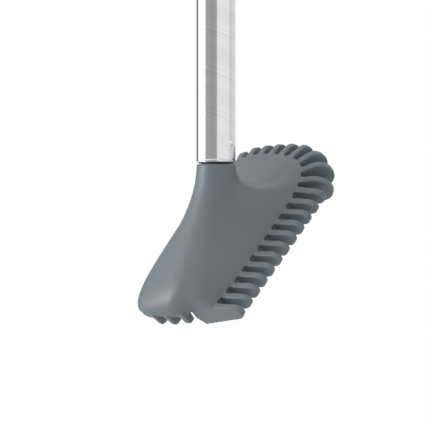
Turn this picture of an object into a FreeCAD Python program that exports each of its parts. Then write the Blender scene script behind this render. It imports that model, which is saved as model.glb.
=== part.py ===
"""Silicone scrubbing brush on a steel tube handle.

The head is shaped like a golf club: a smooth domed back that narrows up into a round
neck, on a long flat pad with rows of flexible fins.  It unscrews from the handle.

Millimetres, +Z up the handle.  The origin is on the tube's axis at the tube's lower end.
+X points to the heel, -X to the toe.  The long fins stand out to the right, -Y, and
round the heel.  The left side, +Y, is smooth: its fins end under the edge of the back.

Pad coordinates are (u, v, t): u along the pad from toe to heel, v across it, and t out
of its back, towards the handle.  PAD turns and moves them into the brush's own frame.
"""
import FreeCAD, Part
import math
import os

from FreeCAD import Placement, Rotation, Vector

os.makedirs("parts", exist_ok=True)

# handle
TUBE_R = 8.0            # outside radius
TUBE_WALL = 0.8
TUBE_LENGTH = 320.0
CAP_RIM = 1.0           # straight rim of the top cap
CAP_DOME = 3.2          # height of its dome
CAP_SKIRT = 12.0        # pressed length inside the tube
PLUG_RIM = 0.6          # bright rim that closes the tube's lower end
PLUG_LENGTH = 22.0
RIM_CHAMFER = 0.2
PIN_R = 1.1             # flush pin that holds the plug
PIN_Z = 7.0
PIN_DEPTH = 4.2

# screw joint
STUD_R = 3.0
STUD_IN_PLUG = 18.0
STUD_LENGTH = 13.5      # below the tube's end
THREAD_CLEARANCE = 0.06
INSERT_WALL = 1.6
INSERT_LENGTH = 14.0
INSERT_INSET = 0.4      # from the neck's top face
TIP_ROOM = 1.5          # below the stud's tip
WASHER_T = 0.4
WASHER_R = 7.3
WASHER_CLEARANCE = 0.3  # round the stud
FACE_GAP = 0.1          # each side of the washer

# head
PAD_TILT = 47.0         # degrees, toe down
PAD_Z = -41.9           # where the pad's plane crosses the handle's axis
PAD_T = 2.5             # thickness of the pad
PAD_INSET = 1.4         # pad inside the edge of the back
HEEL_U = 56.0           # heel end of the outline
TOE_U = -31.8           # toe end
TOE_CUT = 5.0           # how far the right of the toe stands back
TOE_CUT_FROM = 4.0      # where that starts and ends across the toe
TOE_CUT_TO = -8.0
HEEL_HALF = 24.0        # half width near the heel
TOE_HALF_RIGHT = 16.4   # half width near the toe
TOE_HALF_LEFT = 28.2
HEEL_WIDE_U = 40.8      # where the half widths are taken
TOE_WIDE_U = -25.7
SQUARENESS = 4.0        # 2 is an ellipse, more is squarer
TOE_SQUARER = 1.4       # added to it towards the toe
BELLY = 2.2             # squareness of the dome above the edge
NECK_STRAIGHT = 0.6     # neck flush with the tube
DROP = 15.0             # how far the surface runs straight down from the neck
HEEL_DROP = -6.0        # more or less of it at the heel, toe and left
TOE_DROP = 10.0
LEFT_DROP = 3.0
RISE = 14.0             # how steeply it rises from the edge
TOE_RISE = 1.0
LEFT_RISE = -5.0
SCOOP = 0.42            # share of the heel's length that is scooped flat
SCOOP_SIDE = 0.75
SCOOP_LIFT = 0.5

# rigid core inside the head
CORE_R = 6.2
CORE_DEPTH = 25.0
SPINE_TOE_U = -24.0
SPINE_HEEL_U = 19.0
SPINE_HALF = 8.5
SPINE_T = 4.0
SPINE_CORNER = 5.0

# fins
FIN_T = 2.5
FIN_PITCH = 5.8
FIRST_FIN_U = 38.3      # the side fin nearest the heel
RIGHT_REACH = 11.8      # tip beyond the pad's edge
LEFT_TUCK = 3.0         # left tip inside the edge
CENTRE_GAP = 2.4        # from the centre line to a side fin
FIN_DEEP = 7.6          # depth below the pad near the centre line
FIN_SHALLOW = 4.4       # depth at the tip
FIN_FLANK = 3.4         # slope of the inner flank
FIN_LAP = 2.4           # how far its full height runs inside the pad's edge
TIP_ROUND = 3.4         # length of the rounded tip
LEFT_HEEL_FINS = 5      # counted from the heel fin nearest the centre line
RIGHT_HEEL_FINS = 6
HEEL_FIRST = 3.8        # its distance round the outline from the middle of the heel
HEEL_STEP = 5.4         # along the outline
HEEL_LEAN = -6.0        # degrees, turn of a fin at the middle of the heel
HEEL_SPREAD = 1.0       # degrees for each millimetre round the outline
HEEL_CORNER = 0.00143   # more turn towards the corners
HEEL_REACH = 7.3        # at the middle
HEEL_TAPER = -0.12      # for each millimetre to the left
CORNER_REACH = 1.9      # more reach at the right corner
CORNER_NEAR = 12.0      # the corner's stretch, along the outline
CORNER_FAR = 22.0
HEEL_INNER = 7.0        # length under the pad
CORNER_INNER = 1.8
HEEL_DEPTH = 6.6
HEEL_SHALLOW = 5.0      # depth at the tip
CORNER_SHALLOW = 8.0
CORNER_DEPTH = 8.6
CORNER_ROUND = 5.0
TOE_FINS = 3
TOE_FIRST = -1.0        # along the outline from the middle of the toe
TOE_STEP = 7.6
TOE_TURN = 9.0
TOE_FLANK = 1.6
TOE_LAND = 1.2          # level foot of a toe fin
TOE_DEPTH = 4.8
FIN_GAP = 0.6           # least gap between two groups of fins

ROW_LENGTH = FIRST_FIN_U - TOE_U - TOE_CUT - FIN_T / 2
SIDE_FINS = int(ROW_LENGTH / FIN_PITCH) + 1
NECK_Z = -(PLUG_RIM + WASHER_T + 2 * FACE_GAP)
STUD_HOLE_R = STUD_R + THREAD_CLEARANCE
INSERT_R = STUD_HOLE_R + INSERT_WALL
INNER_R = TUBE_R - TUBE_WALL
LAST_FIN_U = FIRST_FIN_U - (SIDE_FINS - 1) * FIN_PITCH
PAD = Placement(Vector(0, 0, PAD_Z), Rotation(Vector(0, 1, 0), -PAD_TILT))
DOWN = Vector(0, 0, -1)
PAD_UP = PAD.Rotation.multVec(Vector(0, 0, 1))


def save(name, *solids):
    """Write one node."""
    shape = solids[0] if len(solids) == 1 else Part.makeCompound(list(solids))
    shape.exportStep("parts/" + name + ".step")
    volume = sum(s.Volume for s in solids)
    print(name, len(solids), "solids", round(volume, 1), "mm3", shape.isValid())


def cylinder(radius, low, high):
    """Upright cylinder about the handle's axis, from one height to another."""
    return Part.makeCylinder(radius, high - low, Vector(0, 0, low))


def smooth(low, high, x):
    """Ease from 0 at low to 1 at high."""
    s = min(1.0, max(0.0, (x - low) / (high - low)))
    return s * s * (3 - 2 * s)


def half_width(u, side):
    """Half width of the pad on one side, which narrows evenly from heel to toe."""
    toe = TOE_HALF_LEFT if side > 0 else TOE_HALF_RIGHT
    slope = (HEEL_HALF - toe) / (HEEL_WIDE_U - TOE_WIDE_U)
    return toe + slope * (u - TOE_WIDE_U)


def outline(angle, inset=0.0, squareness=SQUARENESS, cut=TOE_CUT):
    """Point (u, v) on the pad's squarish oval, at an angle from the heel."""
    middle = (HEEL_U + TOE_U) / 2
    length = (HEEL_U - TOE_U) / 2
    c = math.cos(angle)
    s = math.sin(angle)
    power = squareness + TOE_SQUARER * smooth(0.0, 1.0, -c)
    r = (abs(c) ** power + abs(s) ** power) ** (-1 / power)
    u = middle + (length - inset) * r * c
    v = (half_width(u, s) - inset) * r * s
    toe_end = TOE_U + inset + cut * smooth(TOE_CUT_FROM, TOE_CUT_TO, v)
    return max(u, toe_end), v


def along_outline(distance, toe=False):
    """Point (u, v) at a distance round the outline from the heel's or the toe's middle."""
    angle = math.pi if toe else 0.0
    step = math.copysign(0.002, distance)
    u, v = outline(angle)
    gone = 0.0
    while gone < abs(distance):
        angle += step
        nu, nv = outline(angle)
        gone += math.hypot(nu - u, nv - v)
        u, v = nu, nv
    return u, v


def back_curve(angle):
    """Four control points of the back's surface from the neck down to the edge."""
    u, v = outline(angle)
    edge = PAD.multVec(Vector(u, v, PAD_T))
    top = Vector(TUBE_R * math.cos(angle), TUBE_R * math.sin(angle), NECK_Z - NECK_STRAIGHT)
    heel = smooth(0.30, 0.85, math.cos(angle))
    toe = smooth(-0.2, 1.0, -math.cos(angle))
    left = smooth(0.0, 1.0, math.sin(angle)) * (1 - heel)
    drop = DROP + HEEL_DROP * heel + TOE_DROP * toe + LEFT_DROP * left
    rise = PAD_UP * (RISE + TOE_RISE * toe + LEFT_RISE * left)
    inward = PAD.Rotation.multVec(Vector(-u, -SCOOP_SIDE * v, 0)) * SCOOP
    round_u, round_v = outline(angle, squareness=BELLY, cut=0.0)
    belly = PAD.Rotation.multVec(Vector(round_u - u, round_v - v, 0)) + rise
    pull = belly * (1 - heel) + (inward + PAD_UP * SCOOP_LIFT) * heel
    return [top, top + DOWN * drop, edge + pull, edge]


def bezier(points, s):
    """Point on a cubic curve."""
    a, b, c, d = points
    r = 1 - s
    return a * r ** 3 + b * (3 * r * r * s) + c * (3 * r * s * s) + d * s ** 3


def ring(points):
    """Closed smooth wire through points."""
    curve = Part.BSplineCurve()
    curve.interpolate(Points=points, PeriodicFlag=True)
    return Part.Wire([curve.toShape()])


def back_solid(rings=9, around=40):
    """The domed back, lofted from the round neck to the edge of the pad."""
    curves = [back_curve(2 * math.pi * i / around) for i in range(around)]
    wires = [ring([c[0] + Vector(0, 0, NECK_STRAIGHT) for c in curves])]
    for j in range(rings + 1):
        wires.append(ring([bezier(c, j / rings) for c in curves]))
    return Part.makeLoft(wires, True, False)


def pad_solid():
    """The flat pad that carries the fins."""
    count = 48
    points = [Vector(*outline(2 * math.pi * i / count, PAD_INSET), 0) for i in range(count)]
    plate = Part.Face(ring(points)).extrude(Vector(0, 0, PAD_T))
    plate.Placement = PAD
    return plate


def core_solid():
    """Rigid core: a round neck piece on a spine that lies on the pad."""
    spine = Part.makeBox(SPINE_HEEL_U - SPINE_TOE_U, 2 * SPINE_HALF, SPINE_T,
                         Vector(SPINE_TOE_U, -SPINE_HALF, PAD_T))
    upright = [e for e in spine.Edges if abs(e.tangentAt(0).z) > 0.99]
    spine = spine.makeFillet(SPINE_CORNER, upright)
    spine.Placement = PAD
    neck = cylinder(CORE_R, NECK_Z - CORE_DEPTH, NECK_Z)
    return neck.fuse(spine).removeSplitter()


def fin(points, tip, start, turn, pad):
    """A fin from its outline in (distance out, t), set at (u, v) and turned on the pad.

    The outline runs from the top of the tip round to its foot; tip is the point between.
    """
    corners = [Vector(out, -FIN_T / 2, t) for out, t in points]
    edges = [Part.LineSegment(a, b).toShape() for a, b in zip(corners, corners[1:])]
    bulge = Vector(tip[0], -FIN_T / 2, tip[1])
    edges.append(Part.Arc(corners[-1], bulge, corners[0]).toShape())
    plate = Part.Face(Part.Wire(edges)).extrude(Vector(0, FIN_T, 0))
    plate.Placement = PAD * Placement(Vector(*start, 0), Rotation(Vector(0, 0, 1), turn))
    return plate.cut(pad)


def long_fin(inner, reach, deep, shallow=FIN_SHALLOW, tip_round=TIP_ROUND):
    """Outline of a fin with a slanted inner flank and a rounded tip."""
    root = reach - tip_round
    points = [(root, PAD_T), (-FIN_LAP, PAD_T), (-FIN_LAP, 0.0), (-inner, 0.0),
              (-inner, -deep / 2), (-inner + FIN_FLANK, -deep), (root, -shallow)]
    return points, (reach, (PAD_T - shallow) / 2)


def side_fins(side, pad):
    """One row of fins; side is 1 for the left or -1 for the right."""
    fins = []
    for i in range(SIDE_FINS):
        u = FIRST_FIN_U - i * FIN_PITCH
        edge = half_width(u, side)
        inner = edge - CENTRE_GAP
        if side < 0:
            points, tip = long_fin(inner, RIGHT_REACH, FIN_DEEP)
        else:
            points = [(-LEFT_TUCK, 0.0), (-inner, 0.0), (-inner, -FIN_DEEP / 2),
                      (-inner + FIN_FLANK, -FIN_DEEP),
                      (-LEFT_TUCK - TIP_ROUND, -FIN_SHALLOW)]
            tip = (-LEFT_TUCK - 0.6, -FIN_SHALLOW / 2)
        fins.append(fin(points, tip, (u, side * edge), side * 90, pad))
    return fins


def heel_fins(pad):
    """Fan of fins round the heel, longest and deepest at the right corner."""
    fins = []
    for k in range(-RIGHT_HEEL_FINS, LEFT_HEEL_FINS + 1):
        away = HEEL_FIRST + k * HEEL_STEP
        start = along_outline(away)
        turn = HEEL_LEAN + HEEL_SPREAD * away + HEEL_CORNER * away ** 3
        corner = smooth(CORNER_NEAR, CORNER_FAR, abs(away))
        right = corner if away < 0 else 0.0
        inner = HEEL_INNER + (CORNER_INNER - HEEL_INNER) * corner
        points, tip = long_fin(inner, HEEL_REACH + HEEL_TAPER * away + CORNER_REACH * right,
                               HEEL_DEPTH + (CORNER_DEPTH - HEEL_DEPTH) * right,
                               HEEL_SHALLOW + (CORNER_SHALLOW - HEEL_SHALLOW) * right,
                               TIP_ROUND + (CORNER_ROUND - TIP_ROUND) * right)
        fins.append(fin(points, tip, start, turn, pad))
    return fins


def toe_fins(pad):
    """Short teeth under the toe, which end before the last side fin."""
    fins = []
    for k in range(TOE_FINS):
        start = along_outline(TOE_FIRST - k * TOE_STEP, toe=True)
        lean = (TOE_FIRST / TOE_STEP - k) * TOE_TURN
        room = LAST_FIN_U - start[0] - FIN_T / 2 - FIN_GAP
        inner = room - FIN_T / 2 * abs(math.sin(math.radians(lean)))
        points = [(-PAD_INSET, 0.0), (-inner, 0.0), (-inner, -TOE_DEPTH),
                  (-TOE_FLANK - TOE_LAND, -TOE_DEPTH)]
        tip = (-TOE_FLANK, -TOE_DEPTH + 1.0)
        fins.append(fin(points, tip, start, 180 + lean, pad))
    return fins


def make_handle():
    """Tube, its two end pieces, the stud and the pin."""
    tube = cylinder(TUBE_R, 0, TUBE_LENGTH).cut(cylinder(INNER_R, 0, TUBE_LENGTH))
    pin = Part.makeCylinder(PIN_R, PIN_DEPTH, Vector(0, -TUBE_R, PIN_Z), Vector(0, 1, 0))
    pin = pin.common(cylinder(TUBE_R, 0, TUBE_LENGTH))
    stud = cylinder(STUD_R, -STUD_LENGTH, STUD_IN_PLUG)

    rim = cylinder(TUBE_R, -PLUG_RIM, 0)
    lower = [e for e in rim.Edges if e.BoundBox.ZMax < -PLUG_RIM / 2]
    rim = rim.makeChamfer(RIM_CHAMFER, lower)
    plug = rim.fuse(cylinder(INNER_R, 0, PLUG_LENGTH)).removeSplitter()
    plug = plug.cut(cylinder(STUD_R, -PLUG_RIM, STUD_IN_PLUG)).cut(pin)

    dome_r = (TUBE_R ** 2 + CAP_DOME ** 2) / (2 * CAP_DOME)
    top = TUBE_LENGTH + CAP_RIM
    dome = Part.makeSphere(dome_r, Vector(0, 0, top + CAP_DOME - dome_r))
    dome = dome.common(cylinder(TUBE_R, top, top + CAP_DOME))
    cap = cylinder(INNER_R, TUBE_LENGTH - CAP_SKIRT, TUBE_LENGTH)
    cap = cap.fuse([cylinder(TUBE_R, TUBE_LENGTH, top), dome]).removeSplitter()

    save("handle_tube", tube.cut(pin))
    save("end_cap", cap)
    save("tube_plug", plug)
    save("plug_pin", pin)
    save("threaded_stud", stud)


def make_washer():
    """The dark sealing washer between the handle and the neck."""
    high = -PLUG_RIM - FACE_GAP
    disc = cylinder(WASHER_R, high - WASHER_T, high)
    save("seal_washer", disc.cut(cylinder(STUD_R + WASHER_CLEARANCE, high - WASHER_T, high)))


def make_head():
    """Back, pad, core, insert and the four groups of fins."""
    insert_top = NECK_Z - INSERT_INSET
    insert_low = insert_top - INSERT_LENGTH
    stud_room = cylinder(STUD_HOLE_R, -STUD_LENGTH - TIP_ROOM, NECK_Z)
    insert = cylinder(INSERT_R, insert_low, insert_top).cut(stud_room)
    socket = cylinder(INSERT_R, insert_low, NECK_Z)
    core = core_solid()
    save("head_shell", back_solid().cut(core))
    save("head_core", core.cut(socket.fuse(stud_room)))
    save("threaded_insert", insert)
    pad = pad_solid()
    save("fin_pad", pad)
    save("side_fins_right", *side_fins(-1, pad))
    save("side_fins_left", *side_fins(1, pad))
    save("heel_fins", *heel_fins(pad))
    save("toe_fins", *toe_fins(pad))


make_handle()
make_washer()
make_head()
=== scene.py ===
import math

import bpy
from mathutils import Matrix, Vector


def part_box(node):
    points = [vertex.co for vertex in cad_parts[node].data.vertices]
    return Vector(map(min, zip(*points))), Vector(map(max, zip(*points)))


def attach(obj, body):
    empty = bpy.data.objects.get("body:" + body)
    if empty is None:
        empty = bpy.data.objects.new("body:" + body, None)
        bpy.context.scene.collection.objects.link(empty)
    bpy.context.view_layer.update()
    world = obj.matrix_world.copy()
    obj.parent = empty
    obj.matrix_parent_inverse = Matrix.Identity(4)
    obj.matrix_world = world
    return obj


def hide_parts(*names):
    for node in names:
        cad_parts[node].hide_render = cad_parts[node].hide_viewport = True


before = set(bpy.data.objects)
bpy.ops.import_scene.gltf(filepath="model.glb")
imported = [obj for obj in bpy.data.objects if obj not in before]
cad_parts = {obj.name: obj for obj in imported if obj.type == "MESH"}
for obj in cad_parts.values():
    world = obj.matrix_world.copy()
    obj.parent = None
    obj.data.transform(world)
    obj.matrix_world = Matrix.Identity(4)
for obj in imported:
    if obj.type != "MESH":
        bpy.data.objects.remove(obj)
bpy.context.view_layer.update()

# %% [markdown]
# # A silicone scrubbing brush on a steel tube
# The real brush is a steel tube with a soft moulded head screwed to its lower end.  This
# lesson builds the soft moulding as one piece of silicone, because that is how it leaves
# its mould, and turns each steel part on its own.  Everything is in metres, and the
# handle's axis is the Z axis, with its lower end at zero.

# %% Sizes that the whole script shares
MM = 0.001
tube_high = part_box("handle_tube")[1]
TUBE_R = tube_high.x
TUBE_TOP = tube_high.z
TUBE_WALL = 0.8 * MM
neck_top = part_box("head_core")[1].z
print("tube radius", round(TUBE_R / MM, 2), "mm, length", round(TUBE_TOP / MM), "mm")

# %% [markdown]
# ## Camera, light and floor
# A product like this is best seen from far off through a long lens, in a white tent.  The
# tent is made with the world's colour: a round gradient puts bright and dark walls about
# the object, which is what draws the long bands down a polished tube.  The floor lies well
# below, because the brush hangs from its handle.

# %% Camera, level with the head and far away
VIEW_AZIMUTH = math.radians(-50)
CAMERA_FAR = 1.6
FRAME_WIDTH = 176.3 * MM
AIM = Vector((0.0, 0.0, -22.3 * MM))
LEFT_SHIFT = 0.4 * MM

camera_data = bpy.data.cameras.new("camera")
camera_data.sensor_width = 36.0
camera_data.lens = camera_data.sensor_width * CAMERA_FAR / FRAME_WIDTH
camera_data.clip_end = 50.0
camera = bpy.data.objects.new("camera", camera_data)
bpy.context.scene.collection.objects.link(camera)
bpy.context.scene.camera = camera
to_camera = Vector((math.sin(VIEW_AZIMUTH), -math.cos(VIEW_AZIMUTH), 0.0))
to_right = Vector((math.cos(VIEW_AZIMUTH), math.sin(VIEW_AZIMUTH), 0.0))
camera.location = AIM + to_camera * CAMERA_FAR - to_right * LEFT_SHIFT
camera.rotation_euler = to_camera.to_track_quat("Z", "Y").to_euler()
print("lens", round(camera_data.lens), "mm")

# %% The white tent
# Each wall is a place round the circle, from 0 to 1, and its brightness there.
WALLS = (
    (0.000, 0.38), (0.060, 0.38), (0.118, 0.40), (0.138, 0.92), (0.340, 0.90),
    (0.365, 0.70), (0.420, 0.72), (0.450, 0.80), (0.560, 0.80), (0.610, 0.30),
    (0.746, 0.18), (0.759, 1.45), (0.915, 1.45), (0.935, 0.42),
)


def node(tree, kind, place=(0, 0), **values):
    """Add a node and set its input sockets and its own properties by name."""
    made = tree.nodes.new(kind)
    made.location = place
    for name, value in values.items():
        socket = made.inputs.get(name.replace("_", " "))
        if socket is not None:
            socket.default_value = value
        else:
            setattr(made, name, value)
    return made


world = bpy.data.worlds.new("white_tent")
bpy.context.scene.world = world
world.use_nodes = True
tent = world.node_tree
tent.nodes.clear()
direction = node(tent, "ShaderNodeTexCoord", (-1200, 0))
around = node(tent, "ShaderNodeTexGradient", (-1000, 0), gradient_type="RADIAL")
walls = node(tent, "ShaderNodeValToRGB", (-800, 0))
for at, level in WALLS[1:-1]:
    walls.color_ramp.elements.new(at)
for stop, (at, level) in zip(walls.color_ramp.elements, WALLS):
    stop.position = at
    stop.color = (level, level, level * 1.01, 1.0)
height = node(tent, "ShaderNodeSeparateXYZ", (-1000, -300))
roof = node(tent, "ShaderNodeMapRange", (-800, -300), From_Min=0.12, From_Max=0.85,
            To_Min=0.0, To_Max=1.0)
ground = node(tent, "ShaderNodeMapRange", (-800, -600), From_Min=-0.12, From_Max=-0.8,
              To_Min=0.0, To_Max=1.0)
upper = node(tent, "ShaderNodeMix", (-500, 0), data_type="RGBA")
lower = node(tent, "ShaderNodeMix", (-300, 0), data_type="RGBA")
upper.inputs[7].default_value = (1.15, 1.16, 1.18, 1.0)
lower.inputs[7].default_value = (0.42, 0.42, 0.43, 1.0)
tent.links.new(direction.outputs["Generated"], around.inputs["Vector"])
tent.links.new(direction.outputs["Generated"], height.inputs[0])
tent.links.new(around.outputs["Fac"], walls.inputs["Fac"])
tent.links.new(height.outputs["Z"], roof.inputs["Value"])
tent.links.new(height.outputs["Z"], ground.inputs["Value"])
tent.links.new(roof.outputs["Result"], upper.inputs[0])
tent.links.new(walls.outputs["Color"], upper.inputs[6])
tent.links.new(ground.outputs["Result"], lower.inputs[0])
tent.links.new(upper.outputs[2], lower.inputs[6])
lit = node(tent, "ShaderNodeBackground", (-100, 0), Strength=1.0)
soft = node(tent, "ShaderNodeBackground", (-100, -400), Color=(0.98, 0.99, 1.0, 1))
shade = node(tent, "ShaderNodeMapRange", (-500, -600), From_Min=-0.9, From_Max=0.9,
             To_Min=0.22, To_Max=0.88)
tent.links.new(height.outputs["Z"], shade.inputs["Value"])
tent.links.new(shade.outputs["Result"], soft.inputs["Strength"])
matt = node(tent, "ShaderNodeMixShader", (50, -200))
plain = node(tent, "ShaderNodeBackground", (-100, -200), Color=(1, 1, 1, 1), Strength=1.0)
seen = node(tent, "ShaderNodeLightPath", (-100, 300))
pick = node(tent, "ShaderNodeMixShader", (150, 0))
out = node(tent, "ShaderNodeOutputWorld", (350, 0))
tent.links.new(lower.outputs[2], lit.inputs["Color"])
tent.links.new(seen.outputs["Is Camera Ray"], pick.inputs[0])
tent.links.new(seen.outputs["Is Diffuse Ray"], matt.inputs[0])
tent.links.new(lit.outputs[0], matt.inputs[1])
tent.links.new(soft.outputs[0], matt.inputs[2])
tent.links.new(matt.outputs[0], pick.inputs[1])
tent.links.new(plain.outputs[0], pick.inputs[2])
tent.links.new(pick.outputs[0], out.inputs["Surface"])
bpy.context.scene.view_settings.view_transform = "Standard"
print("tent walls:", len(WALLS))

# %% Soft lamps and the floor
FLOOR_Z = -0.30
FLOOR_R = 1.6


def soft_lamp(name, towards, distance, size, power):
    """A square lamp that faces the head."""
    data = bpy.data.lights.new(name, "AREA")
    data.size = size
    data.energy = power
    lamp = bpy.data.objects.new(name, data)
    bpy.context.scene.collection.objects.link(lamp)
    outward = Vector(towards).normalized()
    lamp.location = AIM + outward * distance
    lamp.rotation_euler = outward.to_track_quat("Z", "Y").to_euler()


soft_lamp("key_lamp", to_camera * 0.10 - to_right + Vector((0, 0, 0.10)),
          distance=1.2, size=0.5, power=6.0)
soft_lamp("top_lamp", to_camera * 0.3 - to_right * 0.3 + Vector((0, 0, 1.0)),
          distance=1.3, size=0.8, power=1.2)

bpy.ops.mesh.primitive_circle_add(vertices=96, radius=FLOOR_R, fill_type="NGON",
                                  location=(0, 0, FLOOR_Z))
floor = bpy.context.object
floor.name = "studio_floor"

# %% [markdown]
# ## Helpers
# Every tool in edit mode acts on what is selected, so each step first clears the
# selection and then picks faces or edges by where they are.


# %% Selection, modifiers and finishing
def only(piece):
    """Select one object and make it active."""
    bpy.ops.object.select_all(action="DESELECT")
    piece.select_set(True)
    bpy.context.view_layer.objects.active = piece


def named(name):
    """Name the object that an operator has just made, and keep it alone selected."""
    piece = bpy.context.object
    piece.name = name
    piece.data.name = name
    only(piece)
    return piece


def modify(piece, kind, **settings):
    """Add a modifier with its settings and apply it."""
    only(piece)
    made = piece.modifiers.new(kind.lower(), kind)
    for key, value in settings.items():
        setattr(made, key, value)
    bpy.ops.object.modifier_apply(modifier=made.name)


def edit_done():
    """Leave edit mode, with all faces pointing outwards."""
    bpy.ops.mesh.select_all(action="SELECT")
    bpy.ops.mesh.remove_doubles(threshold=1e-6)
    bpy.ops.mesh.normals_make_consistent(inside=False)
    bpy.ops.object.mode_set(mode="OBJECT")


def settle(piece, body, *nodes):
    """Put the place into the mesh, smooth the shading, and tie the piece to its body."""
    only(piece)
    bpy.ops.object.transform_apply(location=True, rotation=True, scale=True)
    bpy.ops.object.shade_smooth_by_angle(angle=math.radians(40))
    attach(piece, body)
    if nodes:
        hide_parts(*nodes)
    print(piece.name, "faces:", len(piece.data.polygons))


# %% [markdown]
# ## The silicone moulding
# On the real brush the back, the pad and all the fins are one piece of silicone, poured
# round a stiff core.  Here each region is shaped first as a closed solid: the back is a
# sheet wrapped round the neck and drawn down to the edge of the pad, and each fin is a
# flat plate with a rounded tip.  Then they are joined and remeshed, which melts them
# together with small fillets in every corner, as a mould leaves them.

# %% The pad's own axes and outline
PAD_TILT = math.radians(47)
PAD_Z = -41.9 * MM
PAD_T = 2.5 * MM
PAD_INSET = 1.4 * MM
HEEL_U = 56.0 * MM
TOE_U = -31.8 * MM
TOE_CUT = 5.0 * MM
TOE_CUT_FROM = 4.0 * MM
TOE_CUT_TO = -8.0 * MM
HEEL_HALF = 24.6 * MM
TOE_HALF_RIGHT = 17.2 * MM
TOE_HALF_LEFT = 28.8 * MM
HEEL_WIDE_U = 40.8 * MM
TOE_WIDE_U = -25.7 * MM
SQUARENESS = 4.0
TOE_SQUARER = 1.4
BELLY = 2.2
HEEL_CURL = 4.2 * MM
CURL_FROM = 26 * MM
CURL_PAST = 2 * MM       # the curl is full just past the heel's end
CURL_HALF = 20 * MM
CURL_SIDE_LOSS = 0.35
PAD = Matrix.Translation((0, 0, PAD_Z)) @ Matrix.Rotation(-PAD_TILT, 4, "Y")
PAD_UP = (PAD.to_3x3() @ Vector((0, 0, 1))).normalized()


def smooth(low, high, x):
    """Ease from 0 at low to 1 at high."""
    s = min(1.0, max(0.0, (x - low) / (high - low)))
    return s * s * (3 - 2 * s)


def curl(u, v):
    """How far the heel curls up at a place on the pad, most in its middle."""
    along = smooth(CURL_FROM, HEEL_U + CURL_PAST, u)
    return HEEL_CURL * along * (1 - CURL_SIDE_LOSS * (v / CURL_HALF) ** 2)


def on_pad(u, v, t):
    """A point beside the pad: u towards the heel, v to the left, t out of its back."""
    return PAD @ Vector((u, v, t + curl(u, v)))


def half_width(u, side):
    """Half width of the pad on one side."""
    toe = TOE_HALF_LEFT if side > 0 else TOE_HALF_RIGHT
    slope = (HEEL_HALF - toe) / (HEEL_WIDE_U - TOE_WIDE_U)
    return toe + slope * (u - TOE_WIDE_U)


def outline(angle, inset=0.0, squareness=SQUARENESS, cut=TOE_CUT):
    """Point (u, v) on the pad's squarish oval, at an angle from the heel."""
    c = math.cos(angle)
    s = math.sin(angle)
    power = squareness + TOE_SQUARER * smooth(0.0, 1.0, -c)
    r = (abs(c) ** power + abs(s) ** power) ** (-1 / power)
    u = (HEEL_U + TOE_U) / 2 + ((HEEL_U - TOE_U) / 2 - inset) * r * c
    v = (half_width(u, s) - inset) * r * s
    toe_end = TOE_U + inset + cut * smooth(TOE_CUT_FROM, TOE_CUT_TO, v)
    return max(u, toe_end), v


def along_outline(distance, toe=False):
    """Point (u, v) at a distance round the outline from the middle of the heel or toe."""
    angle = math.pi if toe else 0.0
    step = math.copysign(0.002, distance)
    u, v = outline(angle)
    gone = 0.0
    while gone < abs(distance):
        angle += step
        nu, nv = outline(angle)
        gone += math.hypot(nu - u, nv - v)
        u, v = nu, nv
    return u, v


print("head length", round((HEEL_U - TOE_U) / MM, 1), "mm without its fins")

# %% The back, a sheet wrapped round the neck
AROUND = 144
DOWN_ROWS = 40
BORE_R = 6.25 * MM
BORE_LOW = -20 * MM
LIP = 0.6 * MM
DROP = 15.0 * MM
RISE = 14.0 * MM
# How the drop and the rise change towards each end and side, in millimetres.
HEEL_DROP = -6.0
TOE_DROP = 10.0
LEFT_DROP = 3.0
TOE_RISE = 1.0
LEFT_RISE = -8.0
RIGHT_RISE = -3.0
RIGHT_FILL = 8 * MM      # fills out the right flank
SCOOP = 0.42             # how far the heel facet is drawn in
SCOOP_SIDE = 0.75
SCOOP_LIFT = 0.5 * MM
LEFT_TIGHTER = 0.55


def back_curve(angle):
    """Four control points of the back's surface, from the neck down to the edge."""
    u, v = outline(angle)
    edge = on_pad(u, v, PAD_T)
    rim = Vector((TUBE_R * math.cos(angle), TUBE_R * math.sin(angle), neck_top - LIP))
    heel = smooth(0.30, 0.85, math.cos(angle))
    toe = smooth(-0.2, 1.0, -math.cos(angle))
    left = smooth(0.0, 1.0, math.sin(angle)) * (1 - heel)
    right = smooth(0.0, 1.0, -math.sin(angle)) * (1 - heel)
    drop = DROP + (HEEL_DROP * heel + TOE_DROP * toe + LEFT_DROP * left) * MM
    rise = PAD_UP * (RISE + (TOE_RISE * toe + LEFT_RISE * left + RIGHT_RISE * right) * MM)
    rise += Vector((0, RIGHT_FILL, 0)) * right
    inward = (PAD.to_3x3() @ Vector((-u, -SCOOP_SIDE * v, 0))) * SCOOP
    round_u, round_v = outline(angle, squareness=BELLY, cut=0.0)
    rounder = PAD.to_3x3() @ Vector((round_u - u, round_v - v, 0))
    belly = rounder * (1 - LEFT_TIGHTER * left) + rise
    pull = belly * (1 - heel) + (inward + PAD_UP * SCOOP_LIFT) * heel
    return rim, rim - Vector((0, 0, drop)), edge + pull, edge


def back_point(angle, row):
    """A point of the wrapped sheet: the first rows line the bore and the neck's lip."""
    if row < 3:
        radius = (BORE_R, BORE_R, TUBE_R)[row]
        level = (BORE_LOW, neck_top, neck_top)[row]
        return Vector((radius * math.cos(angle), radius * math.sin(angle), level))
    a, b, c, d = back_curve(angle)
    s = (row - 3) / (DOWN_ROWS - 3)
    r = 1 - s
    return a * r ** 3 + b * (3 * r * r * s) + c * (3 * r * s * s) + d * s ** 3


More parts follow.
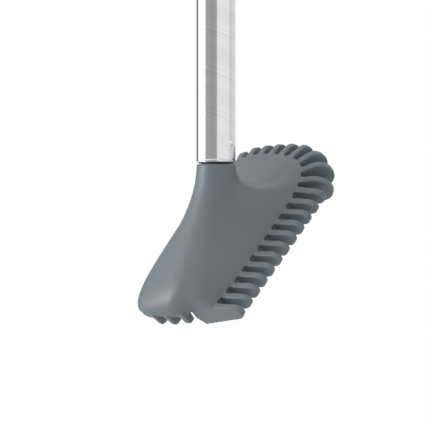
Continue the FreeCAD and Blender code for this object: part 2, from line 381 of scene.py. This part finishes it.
bpy.ops.mesh.primitive_grid_add(x_subdivisions=AROUND, y_subdivisions=DOWN_ROWS, size=1)
back = named("head_moulding")
for point in back.data.vertices:
    turn = 2 * math.pi * (point.co.x + 0.5)
    point.co = back_point(turn, round((0.5 - point.co.y) * DOWN_ROWS))
bpy.ops.object.mode_set(mode="EDIT")
bpy.ops.mesh.select_all(action="SELECT")
bpy.ops.mesh.remove_doubles(threshold=1e-6)
bpy.ops.mesh.select_all(action="DESELECT")
bpy.ops.mesh.select_mode(type="EDGE")
bpy.ops.mesh.select_non_manifold()
bpy.ops.mesh.fill_holes(sides=0)
edit_done()
print("back:", len(back.data.vertices), "points")

# %% The pad, a plate on the same outline
bpy.ops.mesh.primitive_circle_add(vertices=AROUND, radius=1, fill_type="NGON")
pad = named("pad")
for i, point in enumerate(pad.data.vertices):
    u, v = outline(2 * math.pi * i / AROUND, PAD_INSET)
    point.co = Vector((u, v, 0))
bpy.ops.object.mode_set(mode="EDIT")
bpy.ops.mesh.select_all(action="SELECT")
bpy.ops.mesh.extrude_region_move(TRANSFORM_OT_translate={"value": (0, 0, PAD_T + 0.6 * MM)})
edit_done()
for point in pad.data.vertices:
    point.co = on_pad(*point.co)

# %% One fin: a plate with a slanted inner end and a rounded tip
FIN_T = 2.9 * MM
FIN_PITCH = 5.8 * MM
SIDE_FINS = 12
FIRST_FIN_U = 38.3 * MM
RIGHT_REACH = 11.2 * MM
LEFT_TUCK = 3.0 * MM
CENTRE_GAP = 2.4 * MM
FIN_DEEP = 7.6 * MM
FIN_SHALLOW = 4.4 * MM
FIN_FLANK = 3.4 * MM
TIP_ROUND = 4.6 * MM
TIP_POINTS = 12


def fin(name, corners, start, turn):
    """A fin from its outline in (distance out, t), set at (u, v) and turned on the pad."""
    bpy.ops.mesh.primitive_circle_add(vertices=len(corners), radius=1, fill_type="NGON")
    plate = named(name)
    for point, (away, t) in zip(plate.data.vertices, corners):
        point.co = Vector((away, -FIN_T / 2, t))
    bpy.ops.object.mode_set(mode="EDIT")
    bpy.ops.mesh.select_all(action="SELECT")
    bpy.ops.mesh.extrude_region_move(TRANSFORM_OT_translate={"value": (0, FIN_T, 0)})
    edit_done()
    for point in plate.data.vertices:
        away, side, t = point.co
        u = start[0] + away * math.cos(turn) - side * math.sin(turn)
        v = start[1] + away * math.sin(turn) + side * math.cos(turn)
        point.co = on_pad(u, v, t)
    return plate


def long_fin(inner, reach, deep, shallow=FIN_SHALLOW, tip=TIP_ROUND, flank=FIN_FLANK):
    """Outline of a fin whose top runs on from the back and ends in a rounded tip."""
    top = PAD_T - 0.3 * MM
    corners = [(-inner, -0.5 * deep), (-inner, PAD_T - 0.4 * MM), (0, PAD_T)]
    for i in range(TIP_POINTS + 1):
        swing = math.pi / 2 - math.pi * i / TIP_POINTS
        corners.append((reach - tip + tip * math.cos(swing),
                        (top - shallow) / 2 + (top + shallow) / 2 * math.sin(swing)))
    return corners + [(-inner + flank, -deep)]


parts = [back, pad]
for i in range(SIDE_FINS):
    u = FIRST_FIN_U - i * FIN_PITCH
    edge = half_width(u, -1)
    shape = long_fin(edge - CENTRE_GAP, RIGHT_REACH, FIN_DEEP)
    parts.append(fin("right_fin", shape, (u, -edge), math.radians(-90)))
    edge = half_width(u, 1)
    deep = FIN_DEEP if i < SIDE_FINS - 1 else 0.6 * FIN_DEEP
    shape = [(-LEFT_TUCK, 0.5 * MM), (-edge + CENTRE_GAP, 0.5 * MM),
             (-edge + CENTRE_GAP, -deep / 2), (-edge + CENTRE_GAP + FIN_FLANK, -deep),
             (-LEFT_TUCK - 3.0 * MM, -FIN_SHALLOW), (-LEFT_TUCK - 0.8 * MM, -2.8 * MM)]
    parts.append(fin("left_fin", shape, (u, edge), math.radians(90)))

# %% [markdown]
# The heel fins fan out as far as the corners, and at the right corner they grow into
# broad round lobes.  Their turn grows with the cube of the way round, so the middle ones
# stay nearly straight.

# %% Fan of heel fins
LEFT_HEEL_FINS = 5
RIGHT_HEEL_FINS = 6
# Lengths in millimetres, as in along_outline, and angles in degrees.  Each second number
# is what a fin gains towards a corner.
HEEL_FIRST = 3.8
HEEL_STEP = 5.6
HEEL_LEAN = -6.0
HEEL_SPREAD = 1.0
HEEL_CORNER = 0.00144
CORNER_NEAR, CORNER_FAR = 12.0, 22.0
HEEL_INNER, CORNER_INNER = 7.0, -5.2
LAST_INNER = 3.6
HEEL_REACH, HEEL_TAPER, CORNER_REACH = 7.3, -0.10, 0.6
HEEL_DEEP, CORNER_DEEP = 6.6, 4.0
HEEL_SHALLOW, CORNER_SHALLOW = 5.0, 5.0
HEEL_TIP, CORNER_TIP = 4.0, 2.6
HEEL_FLANK, CORNER_FLANK = 3.4, -2.4
for k in range(-RIGHT_HEEL_FINS, LEFT_HEEL_FINS + 1):
    away = HEEL_FIRST + k * HEEL_STEP
    turn = math.radians(HEEL_LEAN + HEEL_SPREAD * away + HEEL_CORNER * away ** 3)
    corner = smooth(CORNER_NEAR, CORNER_FAR, abs(away))
    right = corner if away < 0 else 0.0
    inner = HEEL_INNER + CORNER_INNER * corner if k > -RIGHT_HEEL_FINS else LAST_INNER
    shape = long_fin(inner * MM,
                     (HEEL_REACH + HEEL_TAPER * away + CORNER_REACH * right) * MM,
                     (HEEL_DEEP + CORNER_DEEP * right) * MM,
                     (HEEL_SHALLOW + CORNER_SHALLOW * right) * MM,
                     (HEEL_TIP + CORNER_TIP * right) * MM,
                     (HEEL_FLANK + CORNER_FLANK * corner) * MM)
    parts.append(fin("heel_fin", shape, along_outline(away * MM), turn))

# %% Teeth under the toe
TOE_FINS = 3
TOE_FIRST = -1.0
TOE_STEP = 7.6
TOE_TURN = math.radians(9)
TOE_INNER = 5.2 * MM
TOE_DEPTH = 5.2 * MM
TOE_TOP = 2.2 * MM
for k in range(TOE_FINS):
    start = along_outline((TOE_FIRST - k * TOE_STEP) * MM, toe=True)
    shape = [(-0.4 * MM, TOE_TOP), (-TOE_INNER, TOE_TOP), (-TOE_INNER, -TOE_DEPTH),
             (-2.6 * MM, -TOE_DEPTH), (-1.7 * MM, -TOE_DEPTH + 0.7 * MM)]
    parts.append(fin("toe_tooth", shape, start,
                     math.pi + (TOE_FIRST / TOE_STEP - k) * TOE_TURN))
print("regions to melt together:", len(parts))

# %% Melt the regions into one moulding
VOXEL = 0.36 * MM
MOST_TRIANGLES = 190000
FILLET_PASSES = 9
DOME_PASSES = 30
DOME_FROM, DOME_FULL = 0.6 * MM, 3.0 * MM    # heights above the pad
bpy.ops.object.select_all(action="DESELECT")
for part in parts:
    part.select_set(True)
bpy.context.view_layer.objects.active = back
bpy.ops.object.join()
modify(back, "REMESH", mode="VOXEL", voxel_size=VOXEL)
modify(back, "SMOOTH", factor=0.5, iterations=FILLET_PASSES)
dome = back.vertex_groups.new(name="dome")
to_pad = PAD.inverted()
for point in back.data.vertices:
    u, v, t = to_pad @ point.co
    height_above = t - PAD_T - curl(u, v)
    dome.add([point.index], smooth(DOME_FROM, DOME_FULL, height_above), "REPLACE")
modify(back, "SMOOTH", factor=0.5, iterations=DOME_PASSES, vertex_group="dome")
triangles = 2 * len(back.data.polygons)
if triangles > MOST_TRIANGLES:
    modify(back, "DECIMATE", ratio=MOST_TRIANGLES / triangles)
only(back)
bpy.ops.object.shade_smooth()
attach(back, "head")
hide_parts("head_shell", "fin_pad", "side_fins_right", "side_fins_left",
            "heel_fins", "toe_fins")
print("moulding:", len(back.data.polygons), "faces")

# %% [markdown]
# ## The steel handle
# The tube is drawn and brushed stainless steel.  A round tube needs plenty of sides so
# that the bands of light stay straight, and a wall with soft lips at both ends.

# %% Tube
bpy.ops.mesh.primitive_cylinder_add(vertices=160, radius=TUBE_R, depth=TUBE_TOP,
                                    end_fill_type="NOTHING", location=(0, 0, TUBE_TOP / 2))
tube = named("brushed_tube")
modify(tube, "SOLIDIFY", thickness=TUBE_WALL, offset=-1.0)
modify(tube, "BEVEL", width=0.15 * MM, segments=2, limit_method="ANGLE",
       angle_limit=math.radians(60))
bpy.ops.object.mode_set(mode="EDIT")
for level in (1.0 * MM, TUBE_TOP - 1.0 * MM):
    bpy.ops.mesh.select_all(action="SELECT")
    bpy.ops.mesh.bisect(plane_co=(0, 0, level), plane_no=(0, 0, 1))
bpy.ops.object.mode_set(mode="OBJECT")
settle(tube, "handle", "handle_tube")

# %% Domed cap on top
CAP_RIM = 1.0 * MM
CAP_DOME = 3.2 * MM
bpy.ops.mesh.primitive_uv_sphere_add(segments=96, ring_count=48, radius=TUBE_R)
cap = named("domed_cap")
for point in cap.data.vertices:
    if point.co.z > 0:
        point.co.z *= CAP_DOME / TUBE_R
    else:
        flat = min(1.0, -point.co.z / TUBE_R * 4)
        away = Vector((point.co.x, point.co.y)).length or 1.0
        grow = (TUBE_R - TUBE_WALL * 1.02 * flat) / away if point.co.z > -0.97 * TUBE_R else 1.0
        point.co.x *= grow
        point.co.y *= grow
        point.co.z = -CAP_RIM * min(1.0, flat) - max(0.0, -point.co.z - TUBE_R / 4) * 1.4
    point.co.z += TUBE_TOP + CAP_RIM
settle(cap, "handle", "end_cap")

# %% Pin that locks the plug in the tube
PIN_R = 1.1 * MM
PIN_Z = 7.0 * MM
bpy.ops.mesh.primitive_uv_sphere_add(segments=32, ring_count=16, radius=PIN_R,
                                     location=(0, -TUBE_R + 0.1 * MM, PIN_Z))
pin = named("plug_pin_head")
for point in pin.data.vertices:
    point.co.y *= 0.4
settle(pin, "handle", "plug_pin")

# %% [markdown]
# ## The threaded stud
# Only the unscrewed brush shows it.  Its thread is a real ridge: a zigzag profile is
# turned round the axis while it climbs, which is what the Screw modifier does.  The profile
# has two crests in each lead, so this is a thread with two starts.

# %% Stud
stud_low, stud_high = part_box("threaded_stud")
STUD_R = stud_high.x
LEAD = 3.0 * MM
THREAD_DEPTH = 0.45 * MM
bpy.ops.mesh.primitive_grid_add(x_subdivisions=1, y_subdivisions=4, size=1)
stud = named("threaded_stud_turned")
bpy.ops.object.mode_set(mode="EDIT")
bpy.ops.mesh.select_all(action="DESELECT")
bpy.ops.object.mode_set(mode="OBJECT")
for point in stud.data.vertices:
    row = round((point.co.y + 0.5) * 4)
    depth = 0.0 if row % 2 else THREAD_DEPTH
    if point.co.x > 0:
        point.co = Vector((STUD_R - depth, 0, stud_low.z + row * LEAD / 4))
    else:
        point.select = True
bpy.ops.object.mode_set(mode="EDIT")
bpy.ops.mesh.delete(type="VERT")
bpy.ops.object.mode_set(mode="OBJECT")
turns = int((stud_high.z - stud_low.z) / LEAD) - 1
modify(stud, "SCREW", axis="Z", angle=2 * math.pi, screw_offset=LEAD, iterations=turns,
       steps=40, render_steps=40, use_merge_vertices=True, merge_threshold=1e-6)
only(stud)
bpy.ops.object.mode_set(mode="EDIT")
bpy.ops.mesh.select_mode(type="EDGE")
bpy.ops.mesh.select_all(action="SELECT")
bpy.ops.mesh.remove_doubles(threshold=1e-6)
bpy.ops.mesh.select_all(action="DESELECT")
bpy.ops.mesh.select_non_manifold()
bpy.ops.mesh.fill_holes(sides=0)
edit_done()
settle(stud, "handle", "threaded_stud")

# %% [markdown]
# ## Finishes
# The effects that several finishes share are node groups: a fine grain, and a mask that finds
# the raised edges, where a highlight is painted.  Each finish then sets its own colour and
# gloss.


# %% Shared effects
def effect(name, sockets_in, sockets_out):
    """An empty node group with named inputs and outputs."""
    tree = bpy.data.node_groups.new(name, "ShaderNodeTree")
    for label, kind, value in sockets_in:
        made = tree.interface.new_socket(label, in_out="INPUT", socket_type=kind)
        if value is not None:
            made.default_value = value
    for label, kind in sockets_out:
        tree.interface.new_socket(label, in_out="OUTPUT", socket_type=kind)
    return tree, node(tree, "NodeGroupInput", (-600, 0)), node(tree, "NodeGroupOutput", (600, 0))


def make_grain():
    """Fine moulded grain and large soft patches, both from one place vector."""
    tree, given, result = effect(
        "moulded_grain",
        [("Vector", "NodeSocketVector", None), ("Fine", "NodeSocketFloat", 900.0),
         ("Broad", "NodeSocketFloat", 40.0)],
        [("Height", "NodeSocketFloat"), ("Patches", "NodeSocketFloat")])
    fine = node(tree, "ShaderNodeTexNoise", (-300, 150), Detail=3.0, Roughness=0.6)
    broad = node(tree, "ShaderNodeTexNoise", (-300, -150), Detail=2.0)
    tree.links.new(given.outputs["Vector"], fine.inputs["Vector"])
    tree.links.new(given.outputs["Vector"], broad.inputs["Vector"])
    tree.links.new(given.outputs["Fine"], fine.inputs["Scale"])
    tree.links.new(given.outputs["Broad"], broad.inputs["Scale"])
    tree.links.new(fine.outputs["Fac"], result.inputs["Height"])
    tree.links.new(broad.outputs["Fac"], result.inputs["Patches"])
    return tree


def make_edges():
    """A mask that is white on raised edges."""
    tree, given, result = effect(
        "raised_edges",
        [("From", "NodeSocketFloat", 0.52), ("To", "NodeSocketFloat", 0.60)],
        [("Mask", "NodeSocketFloat")])
    shape = node(tree, "ShaderNodeNewGeometry", (-300, 0))
    ramp = node(tree, "ShaderNodeMapRange", (0, 0))
    tree.links.new(shape.outputs["Pointiness"], ramp.inputs["Value"])
    tree.links.new(given.outputs["From"], ramp.inputs["From Min"])
    tree.links.new(given.outputs["To"], ramp.inputs["From Max"])
    tree.links.new(ramp.outputs["Result"], result.inputs["Mask"])
    return tree


def make_brushing():
    """Fine lines that climb round a tube, from a place vector on its axis."""
    tree, given, result = effect(
        "brushed_lines",
        [("Vector", "NodeSocketVector", None), ("Twist", "NodeSocketFloat", 370.0),
         ("Lines", "NodeSocketFloat", 450.0)],
        [("Height", "NodeSocketFloat"), ("Shade", "NodeSocketFloat")])
    place = node(tree, "ShaderNodeSeparateXYZ", (-500, -200))
    climb = node(tree, "ShaderNodeMath", (-350, -200), operation="MULTIPLY")
    turn = node(tree, "ShaderNodeVectorRotate", (-200, 0), rotation_type="Z_AXIS")
    thin = node(tree, "ShaderNodeMapping", (0, 0))
    thin.inputs["Scale"].default_value = (1.0, 1.0, 0.012)
    lines = node(tree, "ShaderNodeTexNoise", (200, 100), Detail=4.0, Roughness=0.7)
    bands = node(tree, "ShaderNodeTexNoise", (200, -200), Scale=260.0, Detail=2.0)
    tree.links.new(given.outputs["Vector"], place.inputs[0])
    tree.links.new(place.outputs["Z"], climb.inputs[0])
    tree.links.new(given.outputs["Twist"], climb.inputs[1])
    tree.links.new(given.outputs["Vector"], turn.inputs["Vector"])
    tree.links.new(climb.outputs[0], turn.inputs["Angle"])
    tree.links.new(turn.outputs["Vector"], thin.inputs["Vector"])
    tree.links.new(thin.outputs["Vector"], lines.inputs["Vector"])
    tree.links.new(thin.outputs["Vector"], bands.inputs["Vector"])
    tree.links.new(given.outputs["Lines"], lines.inputs["Scale"])
    tree.links.new(lines.outputs["Fac"], result.inputs["Height"])
    tree.links.new(bands.outputs["Fac"], result.inputs["Shade"])
    return tree


grain = make_grain()
raised = make_edges()
brushing = make_brushing()
print("effects:", grain.name, raised.name, brushing.name)


# %% How a finish is put together
def finish_start(name, metallic, **constants):
    """A material with a Principled shader, and the object's own place vector."""
    made = bpy.data.materials.new(name)
    made.use_nodes = True
    tree = made.node_tree
    tree.nodes.clear()
    shader = node(tree, "ShaderNodeBsdfPrincipled", (300, 0), Metallic=metallic)
    for key, value in constants.items():
        shader.inputs[key.replace("_", " ")].default_value = value
    out = node(tree, "ShaderNodeOutputMaterial", (600, 0))
    tree.links.new(shader.outputs[0], out.inputs["Surface"])
    place = node(tree, "ShaderNodeTexCoord", (-1000, 0))
    return made, tree, shader, place.outputs["Object"]


def group(tree, effect_tree, place, at, **values):
    """Put a shared effect into a material."""
    made = tree.nodes.new("ShaderNodeGroup")
    made.node_tree = effect_tree
    made.location = at
    for key, value in values.items():
        made.inputs[key].default_value = value
    if place is not None:
        tree.links.new(place, made.inputs["Vector"])
    return made


def spread(tree, value, low, high, at):
    """Stretch a soft 0.3 to 0.7 noise over a range."""
    made = node(tree, "ShaderNodeMapRange", at, From_Min=0.3, From_Max=0.7,
                To_Min=low, To_Max=high)
    tree.links.new(value, made.inputs["Value"])
    return made.outputs["Result"]


def bump(tree, shader, height_value, strength, distance):
    """Feed a height into the shader's normal."""
    made = node(tree, "ShaderNodeBump", (50, -400), Strength=strength, Distance=distance)
    tree.links.new(height_value, made.inputs["Height"])
    tree.links.new(made.outputs["Normal"], shader.inputs["Normal"])


def between(tree, mask, first, second, at):
    """Mix two colours by a mask."""
    made = node(tree, "ShaderNodeMix", at, data_type="RGBA")
    made.inputs[6].default_value = (*first, 1.0)
    made.inputs[7].default_value = (*second, 1.0)
    tree.links.new(mask, made.inputs[0])
    return made


def dyed(name, dark, light, rough, fine, depth, edge_highlight_colour=None, **constants):
    """Moulded rubber or plastic: two close colours, a grain, and raised edges made paler by a
    painted highlight.
    """
    made, tree, shader, place = finish_start(name, 0.0, **constants)
    texture = group(tree, grain, place, (-750, 0), Fine=fine)
    colour = between(tree, spread(tree, texture.outputs["Patches"], 0, 1, (-500, 100)),
                     dark, light, (-250, 100))
    result = colour.outputs[2]
    # Painted highlight: the raised edges get a paler colour, standing in for light catching
    # them.
    if edge_highlight_colour:
        edge = group(tree, raised, None, (-500, 400))
        painted_edge_highlight = node(tree, "ShaderNodeMix", (0, 200), data_type="RGBA")
        painted_edge_highlight.inputs[7].default_value = (*edge_highlight_colour, 1.0)
        tree.links.new(edge.outputs["Mask"], painted_edge_highlight.inputs[0])
        tree.links.new(result, painted_edge_highlight.inputs[6])
        result = painted_edge_highlight.outputs[2]
    tree.links.new(result, shader.inputs["Base Color"])
    tree.links.new(spread(tree, texture.outputs["Patches"], rough - 0.03, rough + 0.05,
                          (-500, -150)), shader.inputs["Roughness"])
    bump(tree, shader, texture.outputs["Height"], 0.25, depth)
    return made


def steel(name, colour, rough_low, rough_high, lines, strength, **constants):
    """Metal with fine drawn lines in its gloss and its surface."""
    made, tree, shader, place = finish_start(name, 1.0, **constants)
    texture = group(tree, brushing, place, (-750, 0), Lines=lines)
    tone = between(tree, spread(tree, texture.outputs["Shade"], 0, 1, (-500, 100)),
                   tuple(c * 0.86 for c in colour), colour, (-250, 100))
    tree.links.new(tone.outputs[2], shader.inputs["Base Color"])
    tree.links.new(spread(tree, texture.outputs["Height"], rough_low, rough_high,
                          (-500, -150)), shader.inputs["Roughness"])
    bump(tree, shader, texture.outputs["Height"], strength, 0.05 * MM)
    return made


# %% The finishes
# The silicone's paler raised edges are a painted highlight.
silicone = dyed("slate_silicone", (0.123, 0.149, 0.164), (0.136, 0.163, 0.180), 0.39,
                1400.0, 0.02 * MM, edge_highlight_colour=(0.150, 0.178, 0.196))
black_rubber = dyed("black_rubber", (0.010, 0.010, 0.011), (0.016, 0.016, 0.018), 0.6,
                    1400.0, 0.02 * MM)
core_plastic = dyed("core_plastic", (0.10, 0.11, 0.12), (0.13, 0.14, 0.15), 0.5,
                    1800.0, 0.02 * MM)
brushed = steel("brushed_stainless", (0.88, 0.88, 0.885), 0.05, 0.12, 450.0, 0.2)
polished = steel("polished_stainless", (0.90, 0.90, 0.91), 0.06, 0.14, 2400.0, 0.03)
machined = steel("machined_steel", (0.62, 0.62, 0.63), 0.25, 0.38, 2000.0, 0.1)
turned_brass = steel("turned_brass", (0.80, 0.60, 0.28), 0.2, 0.32, 2000.0, 0.08)
paper = dyed("floor_paper", (0.86, 0.86, 0.86), (0.90, 0.90, 0.90), 0.8, 60.0, 0.1 * MM)


def paint(piece, finish_material):
    """Give a piece one finish all over."""
    piece.data.materials.clear()
    piece.data.materials.append(finish_material)


for piece, finish_material in (
        (back, silicone), (tube, brushed), (cap, polished), (pin, polished),
        (stud, machined), (floor, paper)):
    paint(piece, finish_material)
for name, finish_material in (
        ("tube_plug", polished), ("seal_washer", black_rubber), ("head_core", core_plastic),
        ("threaded_insert", turned_brass)):
    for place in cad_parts[name].material_slots:
        place.material = finish_material
